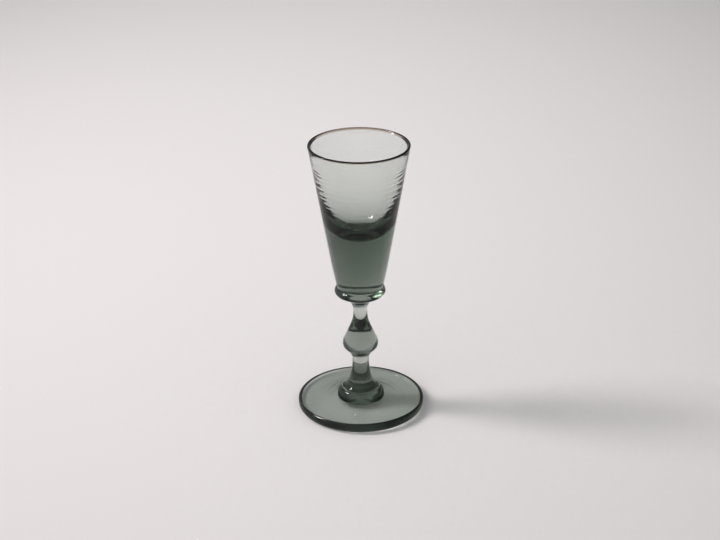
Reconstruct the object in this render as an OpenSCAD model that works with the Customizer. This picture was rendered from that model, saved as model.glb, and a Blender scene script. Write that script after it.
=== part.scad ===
// Small stemmed glass for snaps or cordial, hot-worked from six gathers of smoke-grey glass.
// A conical bowl with a thick solid base stands on a collar, a baluster, a flared stem,
// a wafer and a disc foot. Sizes are in millimetres, Z is the axis and Z = 0 is the table.

/* [Foot] */
// Diameter of the foot
foot_d = 58.8; // [52:0.2:66]
// Thickness of the foot at its rounded edge
foot_edge_t = 4.8; // [3.6:0.1:5]
// Height of the foot where the wafer stands on it
foot_h = 5.1; // [4.9:0.1:5.6]
// Diameter of the shallow hollow under the foot
kick_d = 49; // [40:0.5:50]
// Depth of the shallow hollow under the foot
kick_h = 1.7; // [0.6:0.1:2.2]
// Rounding of the foot's edge above
foot_top_round = 1.3; // [0.8:0.1:1.8]
// Rounding of the foot's edge below
foot_low_round = 2.6; // [2:0.1:2.7]

/* [Wafer] */
// Diameter of the wafer, where it stands on the foot
wafer_d = 21.8; // [20:0.2:23]
// Height of the wafer
wafer_h = 4.6; // [4.4:0.1:5.2]
// Width of the wafer's rounded shoulder
wafer_round = 2.3; // [1.6:0.1:2.6]
// Depth of the dish in the wafer's top, where the stem stands
dish_h = 0.5; // [0.3:0.1:0.8]

/* [Lower stem] */
// Height of the lower stem
stem_h = 15.4; // [13:0.1:18]
// Diameter of the round bead at the stem's base, on the wafer
base_bead_d = 15.6; // [15:0.1:16]
// Height of the bead at the stem's base
base_bead_h = 1.9; // [1.6:0.1:2.2]
// Diameter of the lower stem at its narrow top
stem_top_d = 7.66; // [6:0.02:9]

/* [Baluster] */
// Height of the baluster
baluster_h = 28.8; // [26:0.1:34]
// Widest diameter of the baluster's knop
knop_d = 16.4; // [14:0.2:19]
// Diameter of the baluster's slender neck
neck_d = 6.4; // [5.4:0.1:7.4]
// Diameter of the baluster where it meets the collar
neck_top_d = 9.2; // [8:0.1:10]

/* [Collar] */
// Height of the collar
collar_h = 8.2; // [7.6:0.1:9]
// Widest diameter of the collar's bead
collar_d = 23.4; // [22.8:0.2:25]
// Diameter of the bead's round section
bead_d = 3.9; // [3.2:0.1:4.4]

/* [Bowl] */
// Height of the bowl
bowl_h = 68.4; // [60:0.2:76]
// Diameter of the bowl's base, where it stands on the collar
bowl_base_d = 21.3; // [20.4:0.1:21.6]
// Widest diameter of the bowl, at its rim
rim_d = 45.7; // [42:0.1:50]
// Thickness of the wall at the rim
rim_t = 1.1; // [0.9:0.1:1.8]
// Growth of the wall's thickness per unit of depth below the rim
wall_growth = 0.019; // [0:0.001:0.03]
// Thickness of the solid glass under the cavity
base_t = 25.3; // [20:0.1:32]
// Breadth that the cavity's round bottom has reached at shoulder height
cavity_d = 30; // [27:0.1:31]
// Shape of the cavity's bottom, where a lower number is flatter and 0.5 is a parabola
cavity_power = 0.36; // [0.33:0.01:0.5]

/* [Hidden] */
$fn = 128;

CURVE_STEPS = 10; // straight stretches in one span of a curve
ARC_STEPS = 16;   // straight stretches in one rounded edge
SMOKE = [0.42, 0.50, 0.46, 0.75];
PALE_SMOKE = [0.62, 0.68, 0.65, 0.55];

// Levels of the joints between the gathers
wafer_z = foot_h;
rim_z = wafer_z + wafer_h;
stem_z = rim_z - dish_h;
baluster_z = stem_z + stem_h;
collar_z = baluster_z + baluster_h;
bowl_z = collar_z + collar_h;

// A point [r, z] on the smooth span between knots a and b, each [z, r, change of r with z]
function span_point(a, b, t) =
    let (h = b[0] - a[0], s = t * t * (3 - 2 * t))
    [
        a[1] + s * (b[1] - a[1]) + h * t * (1 - t) * (a[2] * (1 - t) - b[2] * t),
        a[0] + t * h
    ];

// The points of a smooth curve through a list of knots
function curve(knots) = concat(
    [
        for (i = [0 : len(knots) - 2], k = [0 : CURVE_STEPS - 1])
            span_point(knots[i], knots[i + 1], k / CURVE_STEPS)
    ],
    [[knots[len(knots) - 1][1], knots[len(knots) - 1][0]]]
);

// The points of an elliptical arc about [r, z] with half-axes rr and rz
function arc(r, z, rr, rz, from, to) = [
    for (k = [0 : ARC_STEPS])
        let (a = from + (to - from) * k / ARC_STEPS)
        [r + rr * cos(a), z + rz * sin(a)]
];

// A solid of revolution from its outline, which starts and ends on the axis
module turned(outline) {
    rotate_extrude() polygon(outline);
}

module foot() {
    // The hollow runs out smoothly into the flat ring the foot stands on
    kick = [
        for (k = [0 : ARC_STEPS])
            let (t = k / ARC_STEPS)
            [kick_d / 2 * t, kick_h * pow(1 - t * t, 2)]
    ];
    low_r = foot_low_round;
    top_r = foot_top_round;
    color(SMOKE) turned(concat(
        kick,
        arc(foot_d / 2 - low_r, low_r, low_r, low_r, -90, 0),
        arc(foot_d / 2 - top_r, foot_edge_t - top_r, top_r, top_r, 0, 90),
        [[wafer_d / 2, foot_h], [0, foot_h]]
    ));
}

module wafer() {
    shoulder_r = wafer_d / 2 - wafer_round;
    seat_r = base_bead_d / 2 - 0.8;
    // From the shoulder down to the seat of the stem
    dish = [
        for (k = [1 : ARC_STEPS])
            let (t = k / ARC_STEPS)
            [shoulder_r + t * (seat_r - shoulder_r), rim_z - dish_h * t * t * (3 - 2 * t)]
    ];
    color(SMOKE) turned(concat(
        [[0, wafer_z]],
        arc(shoulder_r, wafer_z, wafer_round, wafer_h, 0, 90),
        dish,
        [[0, stem_z]]
    ));
}

module lower_stem() {
    half_h = base_bead_h / 2;
    crease_r = base_bead_d / 2 - 0.75;
    crease_z = stem_z + base_bead_h * 0.95;
    h = baluster_z - crease_z;
    top_r = stem_top_d / 2;
    color(SMOKE) turned(concat(
        [[0, stem_z], [base_bead_d / 2 - half_h, stem_z]],
        arc(base_bead_d / 2 - half_h, stem_z + half_h, half_h, half_h, -84, 40),
        curve([
            [crease_z, crease_r, -0.75],
            [crease_z + 0.1 * h, top_r + 0.69 * (crease_r - top_r), -0.6],
            [crease_z + 0.42 * h, top_r + 0.24 * (crease_r - top_r), -0.2],
            [crease_z + 0.88 * h, top_r, 0],
            [baluster_z, top_r + 0.02, 0.02]
        ]),
        [[0, baluster_z]]
    ));
}

module baluster() {
    z = baluster_z;
    h = baluster_h;
    low_r = stem_top_d / 2;
    knop_r = knop_d / 2;
    neck_r = neck_d / 2;
    color(PALE_SMOKE) turned(concat(
        [[0, z]],
        curve([
            [z, low_r, 0.2],
            [z + 0.104 * h, low_r + 0.29 * (knop_r - low_r), 0.8],
            [z + 0.208 * h, low_r + 0.9 * (knop_r - low_r), 0.65],
            [z + 0.278 * h, knop_r, 0],
            [z + 0.43 * h, neck_r + 0.71 * (knop_r - neck_r), -0.47],
            [z + 0.639 * h, neck_r + 0.184 * (knop_r - neck_r), -0.36],
            [z + 0.833 * h, neck_r, 0],
            [z + h, neck_top_d / 2, 0.7]
        ]),
        [[0, z + h]]
    ));
}

module collar() {
    bead_r = bead_d / 2;
    bead_c = collar_d / 2 - bead_r;
    bead_z = bowl_z - 2.35;
    seat_r = bowl_base_d / 2 - 0.15;
    color(SMOKE) turned(concat(
        [[0, collar_z]],
        curve([
            [collar_z, neck_top_d / 2, 0.9],
            [bead_z - bead_r * sin(70), bead_c + bead_r * cos(70) - 0.3, 2.2]
        ]),
        arc(bead_c, bead_z, bead_r, bead_r, -60, 62),
        [[seat_r, bowl_z], [0, bowl_z]]
    ));
}

// Radius of the straight outer wall at a height above the bowl's base
lip_z = bowl_h - rim_t / 2;
wall_slope = (rim_d - bowl_base_d - 0.7) / 2 / lip_z;
function outer_r(h) = rim_d / 2 - wall_slope * (lip_z - h);

// Radius of the cavity: a round bottom that runs smoothly into the thinning wall
BLEND = 0.87;
SHOULDER_H = 14.1;
function cavity_r(h) =
    let (
        round_r = cavity_d / 2 * pow((h - base_t) / SHOULDER_H, cavity_power),
        wall_r = outer_r(h) - rim_t - wall_growth * (lip_z - h)
    )
    -BLEND * ln(exp(-round_r / BLEND) + exp(-wall_r / BLEND));

module bowl() {
    CAVITY_STEPS = 40;
    fair_h = 13;  // height over which the foot of the wall turns into the straight wall
    depth = lip_z - base_t;
    // Points crowd towards the bottom, where the cavity curves most
    cavity = [
        for (k = [CAVITY_STEPS - 1 : -1 : 1])
            let (h = base_t + depth * pow(k / CAVITY_STEPS, 2.4))
            [cavity_r(h), bowl_z + h]
    ];
    color(PALE_SMOKE) turned(concat(
        [[0, bowl_z]],
        curve([
            [bowl_z, bowl_base_d / 2, wall_slope + 0.04],
            [bowl_z + fair_h, outer_r(fair_h), wall_slope]
        ]),
        arc(outer_r(lip_z) - rim_t / 2, bowl_z + lip_z, rim_t / 2, rim_t / 2, 0, 180),
        cavity,
        [[0, bowl_z + base_t]]
    ));
}

bowl();
collar();
baluster();
lower_stem();
wafer();
foot();
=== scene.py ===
"""Looks of a small stemmed snaps glass in smoke-grey glass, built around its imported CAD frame."""

import math
import random

import bmesh
import bpy
from mathutils import Matrix, Vector, noise


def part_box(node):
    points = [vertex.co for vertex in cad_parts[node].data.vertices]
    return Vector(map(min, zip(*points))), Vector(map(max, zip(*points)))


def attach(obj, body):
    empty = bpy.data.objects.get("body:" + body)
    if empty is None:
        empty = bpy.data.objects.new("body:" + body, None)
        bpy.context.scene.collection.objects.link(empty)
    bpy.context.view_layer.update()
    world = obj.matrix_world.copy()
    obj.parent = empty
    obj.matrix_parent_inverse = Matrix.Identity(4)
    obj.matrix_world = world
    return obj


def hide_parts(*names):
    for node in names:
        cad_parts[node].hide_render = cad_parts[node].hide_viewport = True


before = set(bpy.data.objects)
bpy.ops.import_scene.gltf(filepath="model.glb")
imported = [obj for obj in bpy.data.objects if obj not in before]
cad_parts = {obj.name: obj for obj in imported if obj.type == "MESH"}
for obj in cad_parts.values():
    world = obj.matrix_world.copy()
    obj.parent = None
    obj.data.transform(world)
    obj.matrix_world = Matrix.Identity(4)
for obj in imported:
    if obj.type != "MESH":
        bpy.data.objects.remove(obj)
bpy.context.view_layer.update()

MM = 0.001
BODY = "root"
SEGMENTS = 256  # faces round a turned piece
WELD_GAP = 0.01 * MM  # pieces stop this far apart at a fused joint, so their faces never coincide
MIX_A, MIX_B, MIX_RESULT = 6, 7, 2  # the colour sockets of a Mix node

# ---------------------------------------------------------------- outlines


def span_point(a, b, t):
    """A point (r, z) on the smooth span between knots a and b, each (z, r, change of r with z)."""
    height = b[0] - a[0]
    ease = t * t * (3 - 2 * t)
    bend = height * t * (1 - t) * (a[2] * (1 - t) - b[2] * t)
    return a[1] + ease * (b[1] - a[1]) + bend, a[0] + t * height


def curve(knots, steps=24):
    """The points of a smooth curve through a list of knots."""
    points = []
    for a, b in zip(knots[:-1], knots[1:]):
        points += [span_point(a, b, k / steps) for k in range(steps)]
    points.append((knots[-1][1], knots[-1][0]))
    return points


def arc(r, z, half_r, half_z, start, end, steps=32):
    """The points of an elliptical arc about (r, z), from angle start to angle end in degrees."""
    points = []
    for k in range(steps + 1):
        angle = math.radians(start + (end - start) * k / steps)
        points.append((r + half_r * math.cos(angle), z + half_z * math.sin(angle)))
    return points


def disc(r, z, steps=10):
    """Points from the axis out towards radius r, all at height z; r itself is left out."""
    return [(r * k / steps, z) for k in range(steps)]


# ---------------------------------------------------------------- materials

ABSORB_DENSITY = 77.0
ABSORB_COLOUR = (0.13, 0.245, 0.15, 1.0)
RIM_TINT = (0.36, 0.28, 0.21, 1)
TINT_STARTS, TINT_FULL = 1.2 * MM, 0.5 * MM  # depths below the top of the rim


def new_tree(name):
    """A new material with nothing in its node tree but an output."""
    material = bpy.data.materials.new(name)
    material.use_nodes = True
    tree = material.node_tree
    tree.nodes.clear()
    return material, tree, tree.nodes.new("ShaderNodeOutputMaterial")


def add_worked_skin(tree, place, shader, depth):
    """Slow waves and turned streaks left by hot working, and faint smears of roughness."""
    waves = tree.nodes.new("ShaderNodeTexNoise")
    waves.inputs["Scale"].default_value = 170
    waves.inputs["Detail"].default_value = 2
    streaks = tree.nodes.new("ShaderNodeTexWave")
    streaks.wave_type = "RINGS"
    streaks.rings_direction = "Z"
    streaks.inputs["Scale"].default_value = 105
    streaks.inputs["Distortion"].default_value = 5
    streaks.inputs["Detail"].default_value = 3
    height = tree.nodes.new("ShaderNodeMath")  # the waves, plus a share of the streaks
    height.operation = "MULTIPLY_ADD"
    height.inputs[1].default_value = 0.22
    bump = tree.nodes.new("ShaderNodeBump")
    bump.inputs["Distance"].default_value = depth
    smears = tree.nodes.new("ShaderNodeTexNoise")
    smears.inputs["Scale"].default_value = 60
    smears.inputs["Detail"].default_value = 6
    gloss = tree.nodes.new("ShaderNodeMapRange")
    gloss.inputs["From Min"].default_value = 0.52
    gloss.inputs["From Max"].default_value = 0.8
    gloss.inputs["To Min"].default_value = 0.0
    gloss.inputs["To Max"].default_value = 0.02
    for texture in (waves, streaks, smears):
        tree.links.new(place.outputs["Object"], texture.inputs["Vector"])
    tree.links.new(streaks.outputs["Fac"], height.inputs[0])
    tree.links.new(waves.outputs["Fac"], height.inputs[2])
    tree.links.new(height.outputs["Value"], bump.inputs["Height"])
    tree.links.new(bump.outputs["Normal"], shader.inputs["Normal"])
    tree.links.new(smears.outputs["Fac"], gloss.inputs["Value"])
    tree.links.new(gloss.outputs["Result"], shader.inputs["Roughness"])


def add_rim_tint(tree, place, shader, rim_level):
    """The fire-polished rim is tinted brown."""
    parts = tree.nodes.new("ShaderNodeSeparateXYZ")
    ramp = tree.nodes.new("ShaderNodeMapRange")
    ramp.inputs["From Min"].default_value = rim_level - TINT_STARTS
    ramp.inputs["From Max"].default_value = rim_level - TINT_FULL
    tint = tree.nodes.new("ShaderNodeMix")
    tint.data_type = "RGBA"
    tint.inputs[MIX_A].default_value = (1, 1, 1, 1)
    tint.inputs[MIX_B].default_value = RIM_TINT
    tree.links.new(place.outputs["Object"], parts.inputs["Vector"])
    tree.links.new(parts.outputs["Z"], ramp.inputs["Value"])
    tree.links.new(ramp.outputs["Result"], tint.inputs["Factor"])
    tree.links.new(tint.outputs[MIX_RESULT], shader.inputs["Base Color"])


def glass_material(name, wave_depth, rim_level=None):
    """Smoke-tinted glass. Light passes unbent through the faces marked as a fused joint.

    The joint's faces share the outer faces' material: a ray leaves the tint only through
    the material it came in by.
    """
    material, tree, output = new_tree(name)
    shader = tree.nodes.new("ShaderNodeBsdfPrincipled")
    shader.inputs["Base Color"].default_value = (1, 1, 1, 1)
    shader.inputs["IOR"].default_value = 1.5
    shader.inputs["Transmission Weight"].default_value = 1.0
    place = tree.nodes.new("ShaderNodeTexCoord")
    add_worked_skin(tree, place, shader, wave_depth)
    if rim_level is not None:
        add_rim_tint(tree, place, shader, rim_level)
    unbent = tree.nodes.new("ShaderNodeBsdfTransparent")
    joint = tree.nodes.new("ShaderNodeAttribute")
    joint.attribute_name = "fused"
    choose = tree.nodes.new("ShaderNodeMixShader")
    tree.links.new(joint.outputs["Fac"], choose.inputs["Fac"])
    tree.links.new(shader.outputs["BSDF"], choose.inputs[1])
    tree.links.new(unbent.outputs["BSDF"], choose.inputs[2])
    tree.links.new(choose.outputs["Shader"], output.inputs["Surface"])
    absorb = tree.nodes.new("ShaderNodeVolumeAbsorption")
    absorb.inputs["Density"].default_value = ABSORB_DENSITY
    absorb.inputs["Color"].default_value = ABSORB_COLOUR
    tree.links.new(absorb.outputs["Volume"], output.inputs["Volume"])
    return material


# The foot was spun out, so its waves and streaks are the deepest
STEM_GLASS = glass_material("stem_glass", 0.02 * MM)
FOOT_GLASS = glass_material("foot_glass", 0.05 * MM)
BOWL_GLASS = glass_material("bowl_glass", 0.02 * MM, rim_level=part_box("bowl")[1].z)

# ---------------------------------------------------------------- solids of revolution


def add_seed(mesh, r, angle, z, size):
    """A seed bubble: a tiny round hollow whose faces look inwards."""
    centre = Vector((r * math.cos(angle), r * math.sin(angle), z))
    sides, levels = 8, 5
    rings = []
    for j in range(levels + 1):
        tilt = math.pi * j / levels
        turns = [0.0] if j in (0, levels) else [2 * math.pi * k / sides for k in range(sides)]
        rings.append([
            mesh.verts.new(centre + size * Vector((
                math.sin(tilt) * math.cos(turn), math.sin(tilt) * math.sin(turn), math.cos(tilt))))
            for turn in turns
        ])
    for above, below in zip(rings[:-1], rings[1:]):
        for k in range(sides):
            j = (k + 1) % sides
            if len(above) == 1:
                mesh.faces.new((above[0], below[j], below[k]))
            elif len(below) == 1:
                mesh.faces.new((above[k], above[j], below[0]))
            else:
                mesh.faces.new((above[k], above[j], below[j], below[k]))


def add_ring(mesh, r, z, warp):
    """The points of one ring of a turned piece, or a single point on the axis."""
    if r < 1e-9:
        return [mesh.verts.new((0, 0, z))]
    ring = []
    for k in range(SEGMENTS):
        angle = 2 * math.pi * k / SEGMENTS
        rr, zz = warp(r, z, angle) if warp else (r, z)
        ring.append(mesh.verts.new((rr * math.cos(angle), rr * math.sin(angle), zz)))
    return ring


def join_rings(mesh, low, high):
    """The faces between two rings, either of which may be a single point on the axis."""
    for k in range(SEGMENTS):
        j = (k + 1) % SEGMENTS
        if len(low) == 1:
            mesh.faces.new((low[0], high[j], high[k]))
        elif len(high) == 1:
            mesh.faces.new((low[k], low[j], high[0]))
        else:
            mesh.faces.new((low[k], low[j], high[j], high[k]))


def mark_joints(mesh, fused, weld_levels):
    """Mark the faces that lie flat at a weld level, and keep the edge round them sharp."""
    for face in mesh.faces:
        face.smooth = True
        for level in weld_levels:
            if all(abs(v.co.z - level) < 1e-7 for v in face.verts):
                face[fused] = 1.0
    for edge in mesh.edges:
        if len({face[fused] for face in edge.link_faces}) == 2:
            edge.smooth = False


def turned(name, outline, weld_levels=(), warp=None, seeds=(), glass=STEM_GLASS):
    """A closed solid of revolution from its outline, which starts and ends on the axis.

    warp(r, z, angle) moves a point of the outline; a seed is (r, angle, z, size).
    """
    mesh = bmesh.new()
    fused = mesh.faces.layers.float.new("fused")
    rings = [add_ring(mesh, r, z, warp) for r, z in outline]
    for low, high in zip(rings[:-1], rings[1:]):
        join_rings(mesh, low, high)
    for seed in seeds:
        add_seed(mesh, *seed)
    mesh.normal_update()
    mark_joints(mesh, fused, weld_levels)
    data = bpy.data.meshes.new(name)
    mesh.to_mesh(data)
    mesh.free()
    data.materials.append(glass)
    piece = bpy.data.objects.new(name, data)
    bpy.context.scene.collection.objects.link(piece)
    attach(piece, BODY)
    return piece


# ---------------------------------------------------------------- levels and radii, from the frame

foot_r, foot_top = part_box("foot")[1].x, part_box("foot")[1].z
wafer_r, wafer_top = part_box("wafer")[1].x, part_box("wafer")[1].z
stem_low, stem_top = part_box("lower_stem")[0].z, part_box("lower_stem")[1].z
base_bead_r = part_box("lower_stem")[1].x
knop_r, baluster_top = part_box("baluster")[1].x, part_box("baluster")[1].z
collar_r, collar_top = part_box("collar")[1].x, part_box("collar")[1].z
rim_r, rim_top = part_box("bowl")[1].x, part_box("bowl")[1].z
STEM_TOP_R = 3.83 * MM
NECK_TOP_R = 4.6 * MM
half_gap = WELD_GAP / 2
draws = random.Random(7)


def scattered_seeds(count, radii, heights, sizes):
    """Seed bubbles drawn within a ring-shaped space; each range is (low, high) in millimetres."""
    return [
        (
            draws.uniform(*radii) * MM,
            draws.uniform(0, 2 * math.pi),
            draws.uniform(*heights) * MM,
            draws.uniform(*sizes) * MM,
        )
        for _ in range(count)
    ]


# ---------------------------------------------------------------- foot, wafer, stem and collar


def make_foot():
    """A disc with a blunt edge; the hollow below runs out smoothly into the ring it stands on."""
    edge_t = 4.8 * MM
    low_round, top_round = 2.6 * MM, 1.3 * MM
    kick_r, kick_h = 24.5 * MM, 1.7 * MM
    top = foot_top - half_gap
    edge_r = foot_r - top_round
    steps = 80  # close enough that smooth shading follows the shape, above and below
    outline = []
    for k in range(steps + 1):
        t = k / steps
        outline.append((kick_r * t, kick_h * (1 - t * t) ** 2))
    outline += arc(foot_r - low_round, low_round, low_round, low_round, -90, 0)
    outline += arc(edge_r, edge_t - top_round, top_round, top_round, 0, 90)
    for k in range(1, steps + 1):
        t = k / steps
        outline.append((edge_r + (wafer_r - edge_r) * t, edge_t + (top - edge_t) * t))
    outline += disc(wafer_r, top)[::-1]
    seeds = scattered_seeds(60, (26, 28.4), (2.2, 3.6), (0.05, 0.15))  # in the edge
    seeds += scattered_seeds(30, (12, 25), (2.4, 4.4), (0.04, 0.1))  # in the disc
    return turned("foot_glass", outline, weld_levels=(top,), seeds=seeds, glass=FOOT_GLASS)


def make_wafer():
    """A low cushion with a rounded shoulder; the stem stands in its shallow dish."""
    low, seat = foot_top + half_gap, stem_low - half_gap
    rounding = 2.3 * MM
    shoulder_r, seat_r = wafer_r - rounding, base_bead_r - 0.8 * MM
    outline = disc(wafer_r, low)
    outline += arc(shoulder_r, low, rounding, wafer_top - low, 0, 90, 48)
    steps = 20
    for k in range(1, steps + 1):
        t = k / steps
        outline.append((
            shoulder_r + t * (seat_r - shoulder_r),
            wafer_top + t * t * (3 - 2 * t) * (seat - wafer_top),
        ))
    outline += disc(seat_r, seat)[::-1]
    return turned("wafer_glass", outline, weld_levels=(low, seat))


def make_lower_stem():
    """A round bead, a crease above it, and a flare that narrows to the baluster."""
    low, top = stem_low + half_gap, stem_top - half_gap
    bead_h = 1.9 * MM
    bead_c = base_bead_r - bead_h / 2
    crease_r, crease_z = base_bead_r - 0.75 * MM, low + 0.95 * bead_h
    h = top - crease_z
    wide = crease_r - STEM_TOP_R
    outline = disc(bead_c, low)
    outline += arc(bead_c, low + bead_h / 2, bead_h / 2, bead_h / 2, -90, 40)
    outline += curve([
        (crease_z, crease_r, -0.75),
        (crease_z + 0.1 * h, STEM_TOP_R + 0.69 * wide, -0.6),
        (crease_z + 0.42 * h, STEM_TOP_R + 0.24 * wide, -0.2),
        (crease_z + 0.88 * h, STEM_TOP_R, 0),
        (top, STEM_TOP_R + 0.02 * MM, 0.02),
    ])
    outline += disc(STEM_TOP_R, top)[::-1]
    return turned("lower_stem_glass", outline, weld_levels=(low, top))


def make_baluster():
    """A drop-shaped knop that draws in to a slender neck, then spreads under the collar."""
    low, top = stem_top + half_gap, baluster_top - half_gap
    h = top - low
    neck_r = 3.2 * MM
    outline = disc(STEM_TOP_R, low)
    outline += curve([
        (low, STEM_TOP_R, 0.2),
        (low + 0.104 * h, STEM_TOP_R + 0.29 * (knop_r - STEM_TOP_R), 0.8),
        (low + 0.208 * h, STEM_TOP_R + 0.9 * (knop_r - STEM_TOP_R), 0.65),
        (low + 0.278 * h, knop_r, 0),
        (low + 0.43 * h, neck_r + 0.71 * (knop_r - neck_r), -0.47),
        (low + 0.639 * h, neck_r + 0.184 * (knop_r - neck_r), -0.36),
        (low + 0.833 * h, neck_r, 0),
        (top, NECK_TOP_R, 0.7),
    ])
    outline += disc(NECK_TOP_R, top)[::-1]
    seeds = scattered_seeds(14, (0.5, 5.5), (29, 36), (0.04, 0.1))  # in the knop
    seeds += scattered_seeds(22, (0.3, 3.2), (38, 44), (0.05, 0.11))  # between the knop and the neck
    return turned("baluster_glass", outline, weld_levels=(low, top), seeds=seeds)


def make_collar():
    """A flare up from the neck to a round bead, and the seat of the bowl."""
    low, top = baluster_top + half_gap, collar_top - half_gap
    bead = 1.95 * MM
    bead_c, bead_z = collar_r - bead, collar_top - 2.35 * MM
    under = math.radians(70)  # the flare ends this far below level on the bead's round section
    seat_r = 10.5 * MM
    outline = disc(NECK_TOP_R, low)
    outline += curve([
        (low, NECK_TOP_R, 0.9),
        (bead_z - bead * math.sin(under), bead_c + bead * math.cos(under) - 0.3 * MM, 2.2),
    ])
    outline += arc(bead_c, bead_z, bead, bead, -60, 62)
    outline += [(seat_r, top)] + disc(seat_r, top)[::-1]
    return turned("collar_glass", outline, weld_levels=(low, top))


# ---------------------------------------------------------------- the bowl

RIM_T = 1.1 * MM
BASE_R = 10.65 * MM
BASE_T = 25.3 * MM  # solid glass under the cavity
TUCK = 0.35 * MM  # the straight wall, carried down to the collar, passes this far outside the base
FAIR_H = 13 * MM  # height over which the foot of the wall turns into the straight wall
CAVITY_R, SHOULDER_H = 15.0 * MM, 14.1 * MM  # the round bottom has this radius this far up
CAVITY_POWER = 0.36  # 0.5 would be a parabola; a lower number is flatter
WALL_GROWTH = 0.019  # growth of the wall's thickness per unit of depth
BLEND = 0.87 * MM  # softness of the turn from the round bottom into the wall
THIN_WALL = 0.7 * MM  # thinner than the wall is anywhere that rings are cut
lip_z = rim_top - RIM_T / 2
wall_slope = (rim_r - BASE_R - TUCK) / (lip_z - collar_top)

RINGS_FROM, RINGS_TO = 98 * MM, 124 * MM  # the stretch of the cavity's wall that has tool rings
RING_FADE = 4 * MM  # the rings fade out over this height at both ends
RING_DEPTH_LOW, RING_DEPTH_HIGH = 0.003 * MM, 0.022 * MM
RING_PITCH, FINE_PITCH = 2.35, 1.43  # millimetres between the rings and between the fine rings


def outer_r(z):
    """Radius of the straight outer wall."""
    return rim_r - wall_slope * (lip_z - z)


def cavity_r(z):
    """A round bottom that runs smoothly into the wall, which thins towards the rim."""
    round_r = CAVITY_R * ((z - collar_top - BASE_T) / SHOULDER_H) ** CAVITY_POWER
    wall_r = outer_r(z) - RIM_T - WALL_GROWTH * (lip_z - z)
    return -BLEND * math.log(math.exp(-round_r / BLEND) + math.exp(-wall_r / BLEND))


def ring_relief(z, angle):
    """How far the shallow, uneven rings left by the maker's tool stand into the cavity."""
    turn = Vector((math.cos(angle), math.sin(angle), 0))
    drift = 0.4 * noise.noise(turn * 1.5 + Vector((0, 0, z / (9 * MM)))) + 0.2 * math.sin(angle)
    h = z / MM + drift
    wave = math.sin(2 * math.pi * h / RING_PITCH + 0.9 * math.sin(h / 1.9))
    wave += (
        0.5 * math.sin(2 * math.pi * h / FINE_PITCH + 2)
        + noise.noise(turn * 0.8 + Vector((0, 0, h * 0.9)))
    )
    deepening = RING_DEPTH_HIGH - RING_DEPTH_LOW
    depth = RING_DEPTH_LOW + deepening * (z - RINGS_FROM) / (RINGS_TO - RINGS_FROM)
    fade_in = min(max((z - RINGS_FROM) / RING_FADE, 0), 1)
    fade_out = min(max((RINGS_TO - z) / RING_FADE, 0), 1)
    fade = fade_in * fade_out
    return depth * wave * fade


def make_bowl():
    """A conical cup on a thick solid base, with a round rim and a round-bottomed cavity."""
    low = collar_top + half_gap
    bottom = collar_top + BASE_T
    outline = disc(BASE_R, low)
    outline += curve([
        (low, BASE_R, wall_slope + 0.04),
        (collar_top + FAIR_H, outer_r(collar_top + FAIR_H), wall_slope),
        (lip_z, rim_r, wall_slope),
    ], 20)[:-1]
    outline += arc(rim_r - RIM_T / 2, lip_z, RIM_T / 2, RIM_T / 2, 0, 180)
    steps, crowding = 280, 1.6  # points crowd towards the bottom, where the cavity curves most
    for k in range(steps - 1, 0, -1):
        z = bottom + (lip_z - bottom) * (k / steps) ** crowding
        outline.append((cavity_r(z), z))
    outline.append((0, bottom))

    def warp(r, z, angle):
        inside = z > bottom and r < outer_r(z) - THIN_WALL
        return (r - ring_relief(z, angle), z) if inside else (r, z)

    seeds = scattered_seeds(26, (3, 9.5), (64, 84), (0.05, 0.14))  # in the solid base
    # two larger seeds in the wall, at the right
    seeds.append((16.5 * MM, math.radians(-38), 102.0 * MM, 0.42 * MM))
    seeds.append((16.2 * MM, math.radians(-43), 100.8 * MM, 0.26 * MM))
    return turned("bowl_glass", outline, weld_levels=(low,), warp=warp, seeds=seeds, glass=BOWL_GLASS)


# ---------------------------------------------------------------- the pieces, each for its CAD node

PIECES = {
    "foot": make_foot,
    "wafer": make_wafer,
    "lower_stem": make_lower_stem,
    "baluster": make_baluster,
    "collar": make_collar,
    "bowl": make_bowl,
}
for node, make in PIECES.items():
    piece = make()
    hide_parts(node)

# ---------------------------------------------------------------- camera

CAMERA_PLACE = (0.00003, -0.70486, 0.39015)
CAMERA_PITCH = 24.489  # degrees below level
CAMERA_ROLL = -0.469


def make_camera():
    """An 85 mm lens on a full-frame camera, looking down at the glass."""
    camera = bpy.data.objects.new("camera", bpy.data.cameras.new("camera"))
    bpy.context.scene.collection.objects.link(camera)
    camera.data.lens = 85
    camera.data.sensor_width = 36
    tilt = Matrix.Rotation(math.radians(90 - CAMERA_PITCH), 4, "X")
    roll = Matrix.Rotation(math.radians(CAMERA_ROLL), 4, "Z")
    camera.matrix_world = Matrix.Translation(CAMERA_PLACE) @ tilt @ roll
    bpy.context.scene.camera = camera


make_camera()

# ---------------------------------------------------------------- studio

FLOOR_HALF = 3.0
FLOOR_DROP = 0.02 * MM  # the floor lies this far under the foot, so their faces never coincide
# Painted light: the floor's colour runs from a painted pool of light behind the glass to painted
# shade away from it
FLOOR_PAINTED_LIGHT = (0.806, 0.786, 0.791, 1)
FLOOR_PAINTED_SHADE = (0.661, 0.645, 0.649, 1)
LIGHT_POOL_CENTRE = (0.014, 0.307, 0)
LIGHT_POOL_SQUEEZE = (1.15, 0.60, 0)  # the painted pool of light is longer from front to back than from side to side
LIGHT_POOL_REACH = 0.18  # square of the squeezed distance at which the painted shade on the floor stops getting darker


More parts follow.
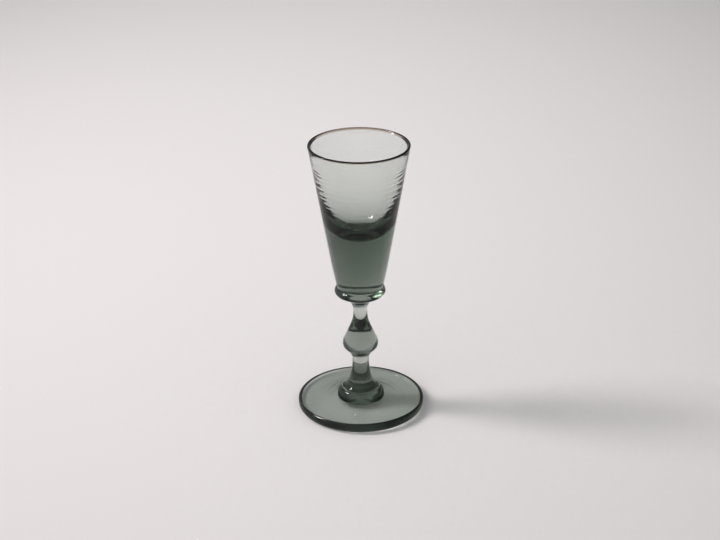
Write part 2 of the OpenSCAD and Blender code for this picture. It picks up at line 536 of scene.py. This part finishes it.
def add_painted_light_pool(tree, place, shader):
    """A painted pool of light: the floor's colour is palest in a soft oval behind the glass, and is
    painted darker away from it.
    """
    shift = tree.nodes.new("ShaderNodeVectorMath")
    shift.operation = "SUBTRACT"
    shift.inputs[1].default_value = LIGHT_POOL_CENTRE
    squeeze = tree.nodes.new("ShaderNodeVectorMath")
    squeeze.operation = "MULTIPLY"
    squeeze.inputs[1].default_value = LIGHT_POOL_SQUEEZE
    square = tree.nodes.new("ShaderNodeVectorMath")
    square.operation = "DOT_PRODUCT"
    light_pool = tree.nodes.new("ShaderNodeMapRange")
    light_pool.inputs["From Max"].default_value = LIGHT_POOL_REACH
    painted_tone = tree.nodes.new("ShaderNodeMix")
    painted_tone.data_type = "RGBA"
    painted_tone.inputs[MIX_A].default_value = FLOOR_PAINTED_LIGHT
    painted_tone.inputs[MIX_B].default_value = FLOOR_PAINTED_SHADE
    tree.links.new(place.outputs["Object"], shift.inputs[0])
    tree.links.new(shift.outputs["Vector"], squeeze.inputs[0])
    tree.links.new(squeeze.outputs["Vector"], square.inputs[0])
    tree.links.new(squeeze.outputs["Vector"], square.inputs[1])
    tree.links.new(square.outputs["Value"], light_pool.inputs["Value"])
    tree.links.new(light_pool.outputs["Result"], painted_tone.inputs["Factor"])
    tree.links.new(painted_tone.outputs[MIX_RESULT], shader.inputs["Base Color"])


def add_paper_grain(tree, place, shader):
    """A fine grain in height and in roughness."""
    grain = tree.nodes.new("ShaderNodeTexNoise")
    grain.inputs["Scale"].default_value = 900
    grain.inputs["Detail"].default_value = 5
    bump = tree.nodes.new("ShaderNodeBump")
    bump.inputs["Strength"].default_value = 0.25
    bump.inputs["Distance"].default_value = 0.03 * MM
    rough = tree.nodes.new("ShaderNodeMapRange")
    rough.inputs["To Min"].default_value = 0.84
    rough.inputs["To Max"].default_value = 0.96
    tree.links.new(place.outputs["Object"], grain.inputs["Vector"])
    tree.links.new(grain.outputs["Fac"], bump.inputs["Height"])
    tree.links.new(bump.outputs["Normal"], shader.inputs["Normal"])
    tree.links.new(grain.outputs["Fac"], rough.inputs["Value"])
    tree.links.new(rough.outputs["Result"], shader.inputs["Roughness"])


def floor_material():
    """Matt paper, with a painted pool of light and painted shade in its colour."""
    material, tree, output = new_tree("floor")
    shader = tree.nodes.new("ShaderNodeBsdfPrincipled")
    shader.inputs["Specular IOR Level"].default_value = 0.1
    place = tree.nodes.new("ShaderNodeTexCoord")
    add_painted_light_pool(tree, place, shader)
    add_paper_grain(tree, place, shader)
    tree.links.new(shader.outputs["BSDF"], output.inputs["Surface"])
    return material


def make_floor():
    """A plain square of paper under the glass."""
    half = FLOOR_HALF
    data = bpy.data.meshes.new("floor")
    corners = [(-half, -half, 0), (half, -half, 0), (half, half, 0), (-half, half, 0)]
    data.from_pydata(corners, [], [(0, 1, 2, 3)])
    floor = bpy.data.objects.new("floor", data)
    bpy.context.scene.collection.objects.link(floor)
    data.materials.append(floor_material())
    floor.location.z = -FLOOR_DROP


def make_room():
    """A soft room, brightest at the left and in front, that dims evenly to the right and the back."""
    world = bpy.data.worlds.new("studio")
    bpy.context.scene.world = world
    world.use_nodes = True
    tree = world.node_tree
    back = tree.nodes["Background"]
    back.inputs["Color"].default_value = (1.0, 0.995, 1.0, 1)
    place = tree.nodes.new("ShaderNodeTexCoord")
    slant = tree.nodes.new("ShaderNodeVectorMath")
    slant.operation = "DOT_PRODUCT"
    slant.inputs[1].default_value = (-0.33, -0.30, -0.13)
    level = tree.nodes.new("ShaderNodeMath")
    level.operation = "ADD"
    level.inputs[1].default_value = 0.77
    tree.links.new(place.outputs["Generated"], slant.inputs[0])
    tree.links.new(slant.outputs["Value"], level.inputs[0])
    tree.links.new(level.outputs["Value"], back.inputs["Strength"])


def make_key():
    """One softbox, high on the left, which throws the shadow to the right."""
    key = bpy.data.objects.new("key", bpy.data.lights.new("key", "AREA"))
    bpy.context.scene.collection.objects.link(key)
    key.data.shape = "RECTANGLE"
    key.data.size = 0.27
    key.data.size_y = 0.52
    elevation, azimuth, distance = math.radians(42), math.radians(6), 1.4
    target = Vector((0, 0, 0.06))
    direction = Vector((
        -math.cos(elevation) * math.cos(azimuth),
        math.cos(elevation) * math.sin(azimuth),
        math.sin(elevation),
    ))
    key.location = target + direction * distance
    key.rotation_euler = direction.to_track_quat("Z", "Y").to_euler()
    radiance = 25.0
    key.data.energy = radiance * math.pi * key.data.size * key.data.size_y
    key.data.color = (1.0, 0.97, 0.94)


def set_light_paths(scene):
    """Enough bounces for light to cross every wall of the glass, and caustics for its glow."""
    scene.cycles.max_bounces = 40
    scene.cycles.transmission_bounces = 40
    scene.cycles.glossy_bounces = 40
    scene.cycles.transparent_max_bounces = 40
    scene.cycles.diffuse_bounces = 4
    scene.cycles.caustics_reflective = True
    scene.cycles.caustics_refractive = True
    scene.cycles.blur_glossy = 0.0
    scene.cycles.use_denoising = True
    scene.cycles.sample_clamp_indirect = 0.0


make_floor()
make_room()
make_key()

scene = bpy.context.scene
scene.view_settings.view_transform = "Standard"
scene.view_settings.gamma = 0.77  # the contrast of a camera's own picture
set_light_paths(scene)
